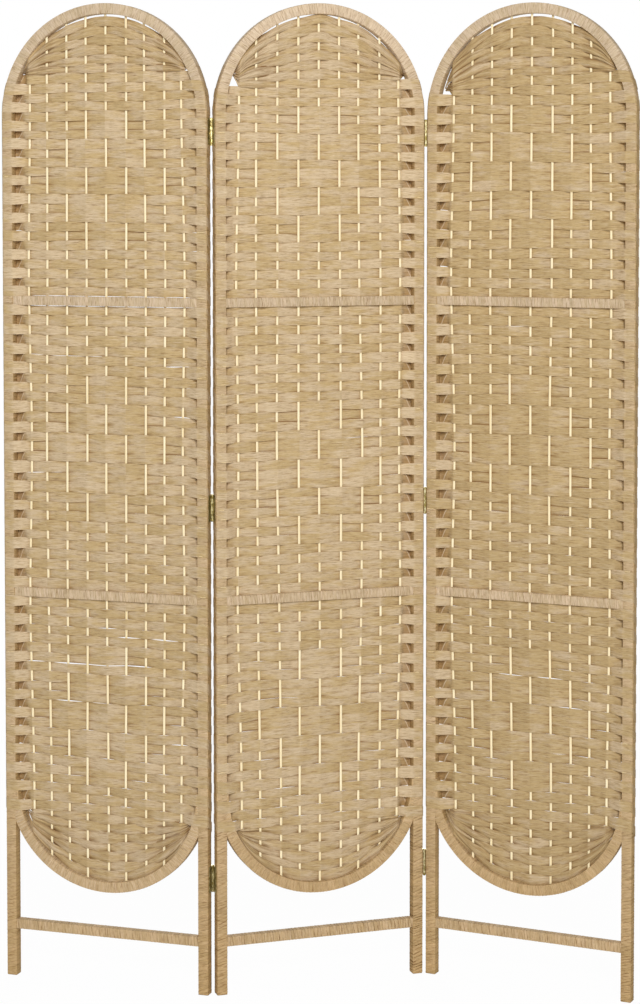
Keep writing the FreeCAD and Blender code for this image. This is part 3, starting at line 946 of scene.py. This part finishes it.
# One strip: its line swept by a thin section. A point lies at the line's place, moved across by its reach up
# or down and off the line by the relief; front and back are half a thickness apart from the middle.
def stripShape(panelName, plan, row, number, random):
    strip = stripCourse(panelName, plan, row, number, random)
    x = strip["x"]
    outward = strip["outward"]
    pleat = stripPleats(strip, random)
    off, fold = stripRelief(strip, pleat)
    # painted shade where a strip dives behind a post, stronger where it lies deeper
    deep = random.uniform(*shadeValues["diveUneven"]) * np.where(x < 0, *shadeValues["diveShade"][panelName])
    deep = deep * strip["behind"] * ramp(strip["beyond"], *shadeValues["diveAcross"])
    deep = deep * ramp(strip["y"], *shadeValues["diveDepth"])
    crease = stripPaintedShade(strip, pleat, random)
    half = stripValues["thickness"] / 2
    sides = []
    for shift in (half, -half):
        side = np.empty((*off.shape, 3))
        side[..., 1] = strip["y"][:, None] + outward[:, 1:] * (off + shift)
        side[..., 2] = strip["height"][:, None] + strip["reach"]
        bendIn = np.sign(x)[:, None] * (outerEdge(side[..., 2]) - outerEdge(strip["z"]))
        side[..., 0] = x[:, None] + outward[:, :1] * (off + shift) + bendIn * strip["endShare"][:, None]
        sides.append(side)
    ring = np.concatenate([sides[0], sides[1][:, ::-1]], axis=1)
    offset = random.uniform(0, stripValues["uvSpread"])
    wide = np.concatenate([strip["reach"], strip["reach"][:, ::-1]], axis=1)
    uv = np.stack([np.broadcast_to(strip["along"][:, None] + offset, wide.shape), wide + offset], -1)
    tone = stripTone(panelName, strip, random)
    back = np.zeros(off.shape)
    values = {
        "tone": np.broadcast_to(tone[:, None], wide.shape),
        "deep": np.concatenate([back + deep[:, None], back], axis=1),
        "crease": np.concatenate([crease, back], axis=1),
        "fold": np.concatenate([fold, back], axis=1),
        "height": ring[..., 2],
    }
    return ring, uv, values


# Faces of a closed strip of so many rings: round the section, and across it at both ends.
def stripQuads(rings, sides):
    body = tubeQuads(rings, sides)[:, [0, 3, 2, 1]]
    front = np.arange(sides // 2)
    back = sides - 1 - front
    start = np.stack([front[:-1], front[1:], back[1:], back[:-1]], -1)
    end = start[:, ::-1] + (rings - 1) * sides
    return np.concatenate([body, start, end])


fieldLimits = {
    "upper": (panelSize["upperBar"] + panelSize["halfBar"], panelSize["top"] - panelSize["memberWidth"]),
    "middle": (panelSize["lowerBar"] + panelSize["halfBar"], panelSize["upperBar"] - panelSize["halfBar"]),
    "lower": (panelSize["bottomSpringing"] - bottomInner, panelSize["lowerBar"] - panelSize["halfBar"]),
}


# 1 between two limits and 0 outside them, with a straight slope just inside each.
def opened(x, left, right, slope):
    return ramp(x, left, left + slope) * ramp(x, right, right - slope)


# Arch line that the gathered rows reach: the frame's inner edge less the opening left there, which on the
# centre panel closes in the middle.
def topReach(panelName):
    tall, left, right = weaveValues["topGap"][panelName]

    def line(x):
        opening = tall * opened(x, left, right, weaveValues["topGapSlope"])
        if panelName == "centre":
            half, least = weaveValues["topGapMiddle"]
            opening = opening * np.clip(np.abs(x) / half, least, 1.0)
        return topInner(x) - opening

    return line


def bottomReach(x):
    return bottomInnerEdge(x) + weaveValues["bottomGap"]


# Layout of one field: the heights between its rows, where the rows gather, and where neighbours part.
def fieldPlan(panelName, field, count, random):
    low, high = fieldLimits[field]
    ends = {"upper": (topReach(panelName), 1), "lower": (bottomReach, -1)}
    gather = None
    if field in ends:
        arch, way = ends[field]
        end = float(arch(np.zeros(1))[0])
        low, high = (low, end) if way > 0 else (end, high)
    edges = np.linspace(high, low, count + 1)
    pitch = (high - low) / count
    edges[1:-1] += pitch * weaveValues["uneven"] * random.uniform(-1, 1, count - 1)
    if field in ends:
        targets = weaveValues["topGather"][panelName] if way > 0 else (weaveValues["bottomGather"],) * 2
        starts = [float(edges[np.argmin(np.abs(edges - target))]) for target in targets]
        rise = weaveValues["tipRise"][panelName] if way > 0 else (0.0, 0.0)
        gather = {"arch": arch, "way": way, "end": end, "z": starts, "rise": rise}
    parted = {}
    for height, left, right, opening in np.array(weaveValues["slits"][panelName]) / 1000:
        if low < height < high:
            parted[int(np.argmin(np.abs(edges - height)))] = (left, right, opening)

    def slit(x, number):
        if number not in parted:
            return np.zeros(x.shape)
        left, right, opening = parted[number]
        return opening * opened(x, left, right, weaveValues["slitSlope"])

    return {
        "low": low,
        "high": high,
        "edges": edges,
        "edgePhases": random.uniform(0, fullTurn, (count + 1, 3)),
        "sagPhases": random.uniform(0, fullTurn, 3),
        "gather": gather,
        "slit": slit,
    }


# All strips of one field, with the rows beside an arch gathered towards its ends. Gives the heights between
# the rows.
def makeField(panelName, field, plainRows, random):
    rowsAbove, rowsBelow = plainRows
    count = rowsAbove + lozengeRows + rowsBelow
    plan = fieldPlan(panelName, field, count, random)
    parts = []
    fieldValues = []
    for number in range(count):
        ring, uv, values = stripShape(panelName, plan, number - rowsAbove, number, random)
        parts.append((ring.reshape(-1, 3), stripQuads(*ring.shape[:2]), uv.reshape(-1, 2)))
        fieldValues.append(values)
    values = {key: np.concatenate([each[key].ravel() for each in fieldValues]) for key in fieldValues[0]}
    name = panelName + "_" + field + "_strips"
    node = panelName + "_panel_" + field + "_weave"
    makePiece(name, panelName, *joined(parts), values, wovenFinish, "woven_paper", (node,))
    return plan["edges"]


threadValues = {
    # share of the row lines that have one, at the left and the right post
    "share": {"left": (0.12, 0.3), "centre": (0.5, 0.4), "right": (0.4, 0.08)},
    "length": 0.014,
    "lengthUneven": (0.6, 1.2),
    "start": (-0.001, 0.006),  # from the post's inner face
    "edgeGap": 0.002,  # least distance from the post's outer edge, where the hinges are
    "bow": 0.001,
    "radius": 0.0006,
    "leastRadius": 0.05,  # square of the share that is left at the ends
    "off": 0.0018,
    "sides": 6,
    "rings": 6,
    "uvTurn": 0.0005,
}


# Ends of thread that lie on the posts between two rows: short round lengths that thin out at both ends, with
# a bow that falls off with the square of the distance from their middle.
def makeThreads(panelName, edgeHeights, random):
    turn = np.arange(threadValues["sides"]) * 2 * np.pi / threadValues["sides"]
    share = np.linspace(0.0, 1.0, threadValues["rings"])[:, None]
    thin = np.clip(1 - (2 * share - 1) ** 4, threadValues["leastRadius"], 1.0)
    radius = threadValues["radius"] * np.sqrt(thin)
    depth = -(panelSize["halfDepth"] + threadValues["off"])
    limit = panelSize["halfWidth"] - threadValues["edgeGap"]
    inside = (edgeHeights > panelSize["bottomSpringing"]) & (edgeHeights < panelSize["springing"])
    parts = []
    for z in edgeHeights[inside]:
        for side, chance in zip((-1, 1), threadValues["share"][panelName]):
            if random.uniform() > chance:
                continue
            length = threadValues["length"] * random.uniform(*threadValues["lengthUneven"])
            start = innerFace + random.uniform(*threadValues["start"])
            length = min(length, limit - start)
            bow = random.uniform(-threadValues["bow"], threadValues["bow"]) * (1 - (2 * share - 1) ** 2)
            ring = np.empty((len(share), len(turn), 3))
            ring[..., 0] = side * (start + length * share)
            ring[..., 1] = depth + radius * np.cos(turn)
            ring[..., 2] = z + bow - side * radius * np.sin(turn)
            uv = np.stack(np.broadcast_arrays(share * length + z, turn * threadValues["uvTurn"]), -1)
            parts.append((ring.reshape(-1, 3), tubeQuads(len(share), len(turn)), uv.reshape(-1, 2)))
    makePiece(panelName + "_thread_ends", panelName, *joined(parts), {}, threadFinish, "woven_paper")


windValues = {
    "turn": 0.006,  # mean width that shows of one turn
    "uneven": 0.45,
    "before": 2.5,  # turns before a member's start, so that it is covered on all sides
    "extra": 6,
    "ridge": 0.00045,
    "ridgeUneven": (0.55, 1.25),
    "ridgeSink": 0.8,
    "corner": 0.0016,
    # places on a turn's width, and how much of its height is left there
    "shares": (0.0, 0.08, 0.4, 0.78, 0.97),
    "drop": (1.0, 0.96, 0.62, 0.22, 0.0),
    "calm": (0.31, 1.665),  # heights between which strips cover the posts
    "calmSlopes": (0.03, 0.05),
    "calmShare": 0.3,
    "calmOut": 0.0008,  # how far the posts' outer sides stand out there
    "calmBrown": 0.5,
    "sideTurn": 0.9,  # faces turned outwards by more than this are a member's sides
    "topRise": 0.1,  # above the springing, where the top arch takes over
    "topRidge": 0.6,  # share of a ridge's height that is left on the top arch
    "topTone": {"left": 0.3, "centre": 2.7, "right": 0.3},  # how much paler the top arches are
    "topEven": 0.35,
    "tone": 0.9,
    "legFront": 0.85,  # share of a turn's climb that lies on the front face
    "archFront": 0.35,
    "archStart": 0.05,  # where the one goes over into the other, to each side of the springing
    # how dark the painted shadow line under a turn's edge is on the posts and the top arch
    "postLines": {"left": 0.42, "centre": 0.8, "right": 0.5},
    "legLines": 1.8,  # how much darker it is at the floor
    "barLines": 0.6,
    "lineSpots": 3.7,  # how often it changes in a turn, and how rare dark lines are
    "lineRare": 2.2,
    "lowRange": (-0.3, 1.2),  # heights between which the ribbon gets less and less brown
    "barBrown": 0.7,  # how brown the bars are, against the posts
    "archBrown": {"left": 0.65, "centre": 1.0, "right": 1.05},  # and the bottom arches
    "leastBrown": 0.1,
    "sideBrown": 0.45,  # how much browner the sides of the posts are
    "archInset": 0.0003,  # how far the bottom arch lies behind the posts' face
    "barSeat": 0.001,
}


# Section of a member: a rectangle with quarter-round corners. Gives places, outward directions and the length
# of each stretch.
def memberSection(halfAcross, halfDepth):
    corner = windValues["corner"]
    places = []
    normals = []
    for sideX, sideY, start in ((-1, -1, 180), (1, -1, 270), (1, 1, 0), (-1, 1, 90)):
        angle = np.radians(start + np.array([0.0, 45.0, 90.0]))
        normal = np.stack([np.cos(angle), np.sin(angle)], -1)
        middle = np.array([sideX * (halfAcross - corner), sideY * (halfDepth - corner)])
        flat = normal[-1:]
        places += [middle + corner * normal, flat * np.array([[halfAcross, halfDepth]])]
        normals += [normal, flat]
    places = np.concatenate(places)
    run = np.linalg.norm(np.diff(np.concatenate([places, places[:1]]), axis=0), axis=1)
    return places, np.concatenate(normals), run


# Helix of the ribbon round a member: turns of uneven width, each with the same few rings, which climb to the
# next turn on their way round. A given share of the climb lies on the front face. Gives the places along the
# member, the number of each ring's turn, and the climb as a share of a turn.
def windingCourse(member, run, turns, random):
    width = windValues["turn"]
    front = np.zeros(len(run), bool)
    front[2:4] = True  # the two stretches of the front face
    widths = width * (1 + windValues["uneven"] * random.uniform(-1, 1, turns))
    widths *= turns * width / widths.sum()
    starts = np.concatenate([[0.0], np.cumsum(widths)]) - windValues["before"] * width
    rings = (starts[:-1, None] + widths[:, None] * np.array(windValues["shares"])).ravel()
    each = len(windValues["shares"])
    lead = rings[each:] - rings[:-each]
    rings = rings[:-each]
    onFront = member["front"](rings)[:, None]
    weight = np.where(front, onFront * run / run[front].sum(), (1 - onFront) * run / run[~front].sum())
    climb = np.concatenate([np.zeros((len(rings), 1)), np.cumsum(weight, axis=1)[:, :-1]], axis=1)
    along = np.clip(rings[:, None] + lead[:, None] * climb, 0.0, member["length"])
    return along, np.arange(len(rings)) // each, climb


# Parts of a winding: where strips cover the posts, at once and with slopes, and where the top arch is.
def windingParts(x, z):
    low, high = windValues["calm"]
    slopeLow, slopeHigh = windValues["calmSlopes"]
    outer = np.abs(x) > innerFace
    covered = (z > low) & (z < high) & outer
    between = ramp(z, low, low + slopeLow) * ramp(z, high, high - slopeHigh) * outer
    top = ramp(z, panelSize["springing"], panelSize["springing"] + windValues["topRise"])
    return np.where(covered, windValues["calmShare"], 1.0), between, top


# A member wound with ribbon: its section carried along a path on a helix. Each turn starts proud of the one
# before and sinks under the next. The ridges are lower under the strips and on the top arch.
def windMember(panelName, name, member, random):
    places, normals, run = memberSection(*member["half"])
    turns = int(member["length"] / windValues["turn"]) + windValues["extra"]
    along, number, climb = windingCourse(member, run, turns, random)
    x, z, dx, dz, inset = member["path"](along)
    quiet, between, top = windingParts(x, z)
    spot = number[:, None] + climb
    table = np.arange(turns + 2)
    each = len(windValues["shares"])
    tall = np.interp(spot, table, random.uniform(*windValues["ridgeUneven"], turns + 2)) * quiet
    tall = tall * (1 - (1 - windValues["topRidge"]) * top)
    drop = np.tile(windValues["drop"], len(along) // each)[:, None]
    off = windValues["ridge"] * (drop * tall - windValues["ridgeSink"])
    sideways = normals[None, :, 0] * dz
    off = off + windValues["calmOut"] * between * (sideways * np.sign(x) > windValues["sideTurn"])
    sizes = places[None, :, :] - inset[..., None] * np.sign(places)[None, :, :]
    across = sizes[..., 0] + off * normals[None, :, 0]
    points = np.stack([x + dz * across, sizes[..., 1] + off * normals[None, :, 1], z - dx * across], -1)
    index = np.arange(along.size).reshape(along.shape)
    body = np.stack([index[:-1, :-1], index[:-1, 1:], index[1:, 1:], index[1:, :-1]], -1).reshape(-1, 4)
    seam = np.stack([index[: -each - 1, -1], index[each:-1, 0], index[each + 1 :, 0], index[1:-each, -1]], -1)
    roundWay = np.concatenate([[0.0], np.cumsum(run)[:-1]]) + number[:, None] * run.sum()
    tone = np.interp(spot, table, random.normal(0, windValues["tone"], turns + 2))
    # how dark the painted shadow line under each turn's edge is: dark on few turns, more so towards the floor
    spots = 4 * turns + 9  # enough for every turn
    dark = random.uniform(0.0, 1.0, spots) ** windValues["lineRare"]
    edge = np.interp(spot * windValues["lineSpots"], np.arange(spots), dark) * quiet * member["lines"]
    risen = ramp(points[..., 2], *windValues["lowRange"])
    low = 1 - risen**2 * (3 - 2 * risen)
    brown = np.maximum(member["brown"] * low, windValues["leastBrown"] * (1 - top))
    brown = np.maximum(brown, windValues["calmBrown"] * between)
    values = {
        "tone": tone * (1 - windValues["topEven"] * top) + windValues["topTone"][panelName] * top,
        "lap": np.broadcast_to(np.tile(windValues["shares"], len(along) // each)[:, None], along.shape),
        "edge": edge * (1 + windValues["legLines"] * low),
        "brown": brown + windValues["sideBrown"] * (np.abs(sideways) > windValues["sideTurn"]),
    }
    name = panelName + "_wound_" + name
    quads = np.concatenate([body, seam])
    uv = np.stack([along, roundWay], -1).reshape(-1, 2)
    nodes = (panelName + "_panel_frame_wrap",)
    makePiece(name, panelName, points.reshape(-1, 3), quads, uv, values, woundFinish, "wound_paper", nodes)


footValues = {"start": 0.0002, "rounding": 0.0008}
postLength = panelSize["springing"] - footValues["start"]
archRadius = panelSize["halfWidth"] - memberHalf
frameLength = 2 * postLength + np.pi * archRadius
bottomArchRadius = panelSize["bottomRadius"] - memberHalf


# Path of a panel's frame: up the left post, round the top arch and down the right post. Near the floor the
# section shrinks by a quarter circle.
def framePath(along):
    turn = np.clip((along - postLength) / archRadius, 0.0, np.pi)
    extraDown = np.maximum(along - postLength - archRadius * np.pi, 0.0)
    x = -archRadius * np.cos(turn)
    z = footValues["start"] + np.minimum(along, postLength) + archRadius * np.sin(turn) - extraDown
    toFoot = np.minimum(along, frameLength - along)
    rounding = footValues["rounding"]
    under = np.clip(rounding - toFoot, 0.0, rounding)
    inset = rounding - np.sqrt(rounding**2 - under**2)
    return x, z, np.sin(turn), np.cos(turn), inset


# Share of a turn's climb on the front face: large on the legs, small on the arch.
def frameFront(along):
    toFoot = np.minimum(along, frameLength - along)
    share = ramp(toFoot, postLength - windValues["archStart"], postLength + windValues["archStart"])
    return windValues["legFront"] + (windValues["archFront"] - windValues["legFront"]) * share


def evenFront(along):
    return np.full(along.shape, windValues["archFront"])


# Path of the bottom arch: down its left side and up its right side.
def bottomPath(along):
    turn = along / bottomArchRadius
    x = -bottomArchRadius * np.cos(turn)
    z = panelSize["bottomSpringing"] - bottomArchRadius * np.sin(turn)
    return x, z, np.sin(turn), -np.cos(turn), np.zeros(along.shape)


# Path of a straight bar from post to post.
def barPath(height):
    def path(along):
        flat = np.zeros(along.shape)
        return along - innerFace - windValues["barSeat"], flat + height, flat + 1, flat, flat

    return path


# The wound members of one panel: both posts with the top arch, the bottom arch and three bars.
def makeFrame(panelName, random):
    depth = panelSize["halfDepth"]
    posts = {
        "path": framePath,
        "length": frameLength,
        "half": (memberHalf, depth),
        "front": frameFront,
        "lines": windValues["postLines"][panelName],
        "brown": 1.0,
    }
    windMember(panelName, "posts", posts, random)
    bottomArch = {
        "path": bottomPath,
        "length": np.pi * bottomArchRadius,
        "half": (memberHalf, depth - windValues["archInset"]),
        "front": evenFront,
        "lines": windValues["barLines"],
        "brown": windValues["archBrown"][panelName],
    }
    windMember(panelName, "bottom_arch", bottomArch, random)
    bars = {"upper_bar": ("upperBar", "halfBar"), "lower_bar": ("lowerBar", "halfBar")}
    bars["stretcher"] = ("stretcher", "halfStretcher")
    for barName, (height, half) in bars.items():
        bar = {
            "path": barPath(panelSize[height]),
            "length": 2 * innerFace + 2 * windValues["barSeat"],
            "half": (panelSize[half], panelSize["barHalfDepth"]),
            "front": evenFront,
            "lines": windValues["barLines"],
            "brown": windValues["barBrown"],
        }
        windMember(panelName, barName, bar, random)


firstSeed = 40
for number, panelName in enumerate(panelNames):
    random = np.random.default_rng(firstSeed + number)
    makeRods(panelName)
    fieldRows = zip(fieldLimits, weaveValues["plainRows"][panelName])
    edgeHeights = [makeField(panelName, field, plainRows, random) for field, plainRows in fieldRows]
    makeFrame(panelName, random)
    makeThreads(panelName, np.concatenate(edgeHeights), random)
    print(panelName, "panel woven and wound")

stageValues = {
    "floorHalf": 6.0,
    "floorColour": (0.93, 0.93, 0.93),
    "floorGlow": 0.97,
    "floorFade": (1.6, 5.0),  # distances between which it gets clear
    "ambient": 0.25,
    "lampSize": 3.0,
    "lampAim": (0.0, 0.0, 1.0),
    "keyPlace": (0.3, -8.0, 3.9),
    "keyPower": 552.0,
    "fillPlace": (-0.5, 8.0, 3.6),
    "fillPower": 320.0,
}
plainWhite = (1.0, 1.0, 1.0, 1.0)


# Floor: pale, with part of it glowing for the camera so that it joins the white behind, and clear at its rim.
def makeFloor():
    half = stageValues["floorHalf"]
    corners = [(-half, -half, 0.0), (half, -half, 0.0), (half, half, 0.0), (-half, half, 0.0)]
    mesh = bpy.data.meshes.new("floor")
    mesh.from_pydata(corners, [], [(0, 1, 2, 3)])
    finish = Finish(bpy.data.materials.new("pale_floor"))
    distance = finish.add("ShaderNodeVectorMath", {"operation": "LENGTH"}, [finish.onObject()], "Value")
    rays = finish.add("ShaderNodeLightPath", output="Is Camera Ray")
    plain = finish.add("ShaderNodeBsdfDiffuse", None, {"Color": (*stageValues["floorColour"], 1.0)})
    glow = finish.add("ShaderNodeEmission", None, {"Color": plainWhite, "Strength": 1.0})
    clear = finish.add("ShaderNodeBsdfTransparent", None, {"Color": plainWhite})
    lit = finish.add("ShaderNodeMixShader", None, [rays * stageValues["floorGlow"], plain, glow])
    faded = finish.add("ShaderNodeMixShader", None, [distance.step(*stageValues["floorFade"]), lit, clear])
    finish.add("ShaderNodeOutputMaterial", None, {"Surface": faded})
    mesh.materials.append(finish.owner)
    floor = bpy.data.objects.new("floor", mesh)
    bpy.context.scene.collection.objects.link(floor)


# A large lamp that points at the middle of the object.
def makeLamp(name, place, power):
    lamp = bpy.data.lights.new(name, "AREA")
    lamp.energy = power
    lamp.size = stageValues["lampSize"]
    lampObject = bpy.data.objects.new(name, lamp)
    aim = np.array(stageValues["lampAim"]) - np.array(place)
    tilt = math.atan2(math.hypot(aim[0], aim[1]), -aim[2])
    lampObject.location = place
    lampObject.rotation_euler = (tilt, 0.0, math.atan2(-aim[0], aim[1]))
    bpy.context.scene.collection.objects.link(lampObject)


# Light: white all round for what the camera and mirrors see, softer for the object, one large lamp in front
# and one behind.
def makeLight():
    world = bpy.data.worlds.new("studio")
    bpy.context.scene.world = world
    finish = Finish(world)
    names = ("Is Camera Ray", "Is Glossy Ray", "Is Transmission Ray")
    seen, mirrored, through = (finish.add("ShaderNodeLightPath", output=name) for name in names)
    seen = seen.calc("MAXIMUM", seen, mirrored.calc("MAXIMUM", mirrored, through))
    dim = finish.add("ShaderNodeBackground", None, {"Color": plainWhite, "Strength": stageValues["ambient"]})
    bright = finish.add("ShaderNodeBackground", None, {"Color": plainWhite, "Strength": 1.0})
    either = finish.add("ShaderNodeMixShader", None, [seen, dim, bright])
    finish.add("ShaderNodeOutputWorld", None, {"Surface": either})
    makeLamp("key", stageValues["keyPlace"], stageValues["keyPower"])
    makeLamp("fill", stageValues["fillPlace"], stageValues["fillPower"])


cameraValues = {
    "place": (0.00805, -4.42156, 1.46446),
    "pitchDown": 2.867,
    "sensor": 36.0,
    "lens": 87.515,
    "shiftY": -0.19,
}


def makeCamera():
    data = bpy.data.cameras.new("camera")
    data.sensor_width = cameraValues["sensor"]
    data.lens = cameraValues["lens"]
    data.shift_y = cameraValues["shiftY"]
    camera = bpy.data.objects.new("camera", data)
    camera.location = cameraValues["place"]
    camera.rotation_euler = (math.radians(90 - cameraValues["pitchDown"]), 0.0, 0.0)
    bpy.context.scene.collection.objects.link(camera)
    bpy.context.scene.camera = camera


makeFloor()
makeLight()
makeCamera()
bpy.context.scene.view_settings.view_transform = "Standard"
print("stage set")
